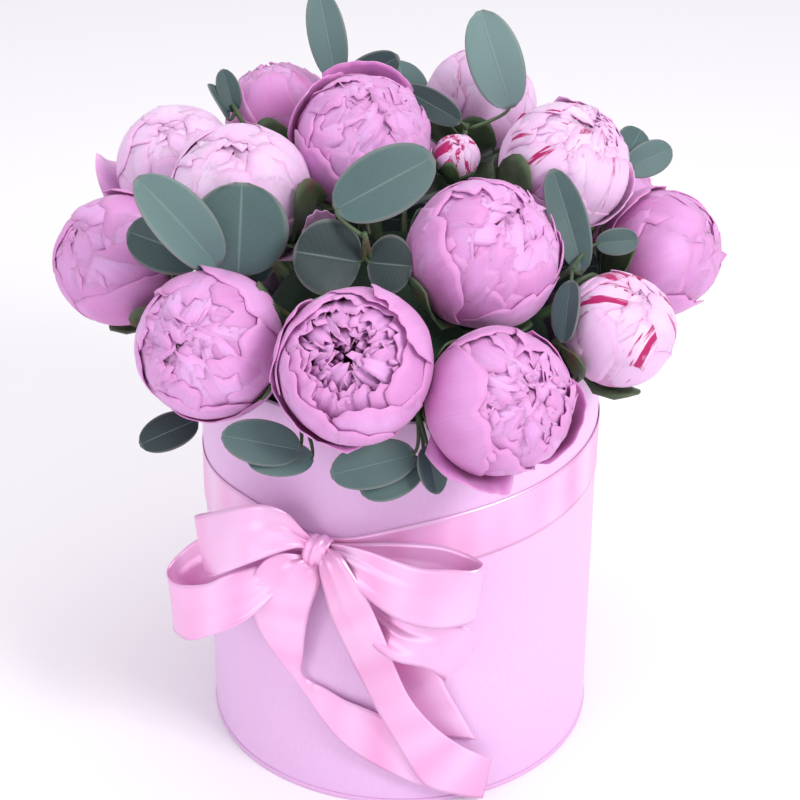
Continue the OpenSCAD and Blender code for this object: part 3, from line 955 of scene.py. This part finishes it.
def make_band(satin):
    """The band rises to the right with its tilt and narrows where it is gathered into the knot."""
    sheets = Sheets()
    low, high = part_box("ribbon_band")
    middle = (low[2] + high[2]) / 2.0 / MM
    turns, across = 240, 11
    angle = np.radians(KNOT_AZ + np.linspace(1.0, 359.0, turns))[:, None]
    away = np.degrees(np.minimum(angle - angle[0], angle[-1] - angle))
    s = np.linspace(-1, 1, across)[None, :]
    pinch = 1.0 - BAND_NARROWING * np.exp(-(away / NARROWING_REACH) ** 2)
    level = middle + BOX_R * math.tan(BAND_TILT) * np.cos(angle)
    pull = np.exp(-(away / PULL_REACH) ** 2)
    level = level * (1 - pull) + (KNOT_Z + 4.0) * pull
    gather = 0.5 * pull * (1 + np.sin(s * 9.0 + 1.0)) + 0.12 * (1 + np.sin(3.0 * angle + 2.0 * s))
    r = BOX_R + RIBBON_T + gather
    grid = np.stack([r * np.cos(angle), r * np.sin(angle), level + s * RIBBON_W / 2.0 * pinch], axis=-1)
    place = np.zeros_like(grid)
    place[..., 0] = (s + 1) / 2
    place[..., 1] = (angle - angle[0]) * BOX_R
    sheets.add(grid * MM, place, np.zeros_like(grid))
    piece = sheets.build("ribbon_band_satin", satin, RIBBON_T * MM)
    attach(piece, BODY_OF_BOX)
    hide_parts("ribbon_band")


def make_knot(satin):
    """The last turn of the ribbon over the middle of the bow, folded tight."""
    sheets = Sheets()
    turn = np.linspace(0, 2 * math.pi, 40, endpoint=False)[:, None]
    s = np.linspace(-1, 1, 15)[None, :]
    fold = 0.45 * np.sin(s * 8.0 + 1.5 * np.sin(turn)) * (1 - s ** 4)
    tall = KNOT_HALF[1] + fold - 1.3 * s ** 2
    deep = KNOT_HALF[2] + fold - 1.3 * s ** 2
    half = KNOT_HALF[0] + 0.8 * np.cos(turn)
    x = s * half + KNOT_MIDDLE[0] + 0.22 * tall * np.cos(turn)
    y = KNOT_MIDDLE[1] + tall * np.cos(turn)
    z = KNOT_MIDDLE[2] + deep * np.sin(turn)
    grid = np.stack([x, y, z], axis=-1)
    place = np.zeros_like(grid)
    place[..., 0] = (s + 1) / 2
    place[..., 1] = turn * 6.4
    sheets.add(from_knot(grid), place, np.zeros_like(grid), closed=True)
    piece = sheets.build("bow_knot_satin", satin, RIBBON_T * MM)
    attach(piece, BODY_OF_BOX)
    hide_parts("bow_knot")


def make_bow(satin):
    """Four loops gathered at both ends, two long tails gathered at the knot, and a short end."""
    gathered = dict(pleats=0.8, crown=0.5)
    one_end = dict(pleats=0.8, crown=0.7, pleat_at=(1.0, 0.0))
    loops = [
        ("loop_upper_left", UPPER_LEFT, 120.0),
        ("loop_lower_left", LOWER_LEFT, 160.0),
        ("loop_upper_right", UPPER_RIGHT, 150.0),
        ("loop_lower_right", LOWER_RIGHT, 160.0),
    ]
    for node, pairs, length in loops:
        satin_piece(f"{node}_satin", satin, pairs, gathered,
                    [node])
    tails = [
        ("tail_short", TAIL_SHORT, dict(crown=0.3), 55.0, []),
        ("tail_left", TAIL_LEFT, one_end, 165.0, ["tail_left"]),
        ("tail_right", TAIL_RIGHT, one_end, 155.0, ["tail_right"]),
    ]
    for name, pairs, options, length, nodes in tails:
        satin_piece(f"{name}_satin", satin, pairs, options, nodes)


# ---------- box ----------

def lathe(name, profile, mat, node, seam=0.0):
    """Turns a closed outline about the box's axis. seam lifts the paper's overlap at the back."""
    segments = 192
    sheets = Sheets()
    angle = np.linspace(0, 2 * math.pi, segments, endpoint=False)[:, None]
    outline = np.array(profile + profile[:1], float)
    r = outline[None, :, 0] * np.ones((segments, 1))
    z = outline[None, :, 1] * np.ones((segments, 1))
    away = np.degrees(angle) - SEAM_AZ
    lap = smoothstep(-5.0, -4.6, away) * (1.0 - smoothstep(4.5, 5.0, away))
    r = r + seam * lap * (r > BOX_R - 0.5)
    grid = np.stack([r * np.cos(angle), r * np.sin(angle), z], axis=-1)
    zeros = np.zeros_like(grid)
    sheets.add(grid * MM, zeros, zeros, closed=True)
    piece = sheets.build(name, mat, 0)
    weld = piece.modifiers.new("weld", "WELD")
    weld.merge_threshold = 0.00001
    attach(piece, BODY_OF_BOX)
    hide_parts(node)


def arc(cx, cy, radius, start, end, steps=6):
    """Points of a round stretch of an outline, between two angles in degrees."""
    return [(cx + radius * math.cos(math.radians(a)), cy + radius * math.sin(math.radians(a)))
            for a in np.linspace(start, end, steps)]


WALL_T = 2.0
FOOT_ROUND = 0.6
RIM_ROUND = 0.8
TURN_IN = 18.0              # how far the paper is turned over the rim into the box
TURN_IN_T = 0.25
BASE_HOLLOW = 0.35          # the base stands on a ring round this shallow hollow


def make_box(paper, base_paper):
    """The wall's covering, turned over the rim, and the covered base disc."""
    low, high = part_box("box_wall")
    foot, rim = low[2] / MM, high[2] / MM
    inner = BOX_R - WALL_T
    body = [(inner, foot), (BOX_R - FOOT_ROUND, foot)]
    body += arc(BOX_R - FOOT_ROUND, foot + FOOT_ROUND, FOOT_ROUND, -90, 0)
    body += [(BOX_R, foot + h) for h in (20, 60, 100, 140, 170)]
    body += arc(BOX_R - RIM_ROUND, rim - RIM_ROUND, RIM_ROUND, 0, 90)
    body += arc(inner + RIM_ROUND, rim - RIM_ROUND, RIM_ROUND, 90, 180)
    body += [(inner, rim - TURN_IN), (inner + TURN_IN_T, rim - TURN_IN - 0.3),
             (inner + TURN_IN_T, foot + 40)]
    lathe("box_skin", body, paper, "box_wall", seam=0.22)
    low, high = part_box("base_disc")
    edge, top = high[0] / MM, high[2] / MM
    base = [(0.0, BASE_HOLLOW), (edge - 6.0, BASE_HOLLOW), (edge - 5.0, 0.0)]
    base += arc(edge - 0.8, 0.8, 0.8, -90, 0) + arc(edge - 0.7, top - 0.7, 0.7, 0, 90)
    base += [(0.0, top)]
    lathe("base_skin", base, base_paper, "base_disc")


# ---------- all together ----------

def dress_cad_nodes(stem_mat):
    """The liner, the foam and the stems keep their CAD shapes and get a material."""
    finishes = {"liner": liner_material(), "floral_foam": foam_material()}
    for name, node in frame["nodes"].items():
        finish = finishes.get(name) or (stem_mat if name.endswith("_stem") else None)
        if finish:
            node.data.materials.clear()
            node.data.materials.append(finish)


def main():
    make_camera()
    make_studio()
    make_floor()
    stem_mat = stem_material()
    petals = {
        "pink": petal_material("petal_pink", (0.46, 0.09, 0.30), (0.54, 0.19, 0.46),
                               (0.77, 0.44, 0.81), (0.68, 0.29, 0.59), (0.45, 0.02, 0.17), 0.66),
        "pale": petal_material("petal_pale", (0.50, 0.12, 0.34), (0.74, 0.46, 0.73),
                               (0.85, 0.65, 0.88), (0.74, 0.40, 0.66), (0.42, 0.01, 0.12), 0.63),
    }
    for number in PEONIES:
        make_peony(number, petals, stem_mat)
    leaf_mat = leaf_material()
    for index in range(len(SPRIGS)):
        make_sprig(index, leaf_mat, stem_mat)
    make_fillers(leaf_mat, stem_mat)
    satin = satin_material()
    make_box(paper_material("box_paper", (0.755, 0.465, 0.765), (0.735, 0.445, 0.745), 0.42),
             paper_material("base_paper", (0.72, 0.42, 0.71), (0.70, 0.40, 0.69), 0.42))
    make_band(satin)
    make_knot(satin)
    make_bow(satin)
    dress_cad_nodes(stem_mat)


main()
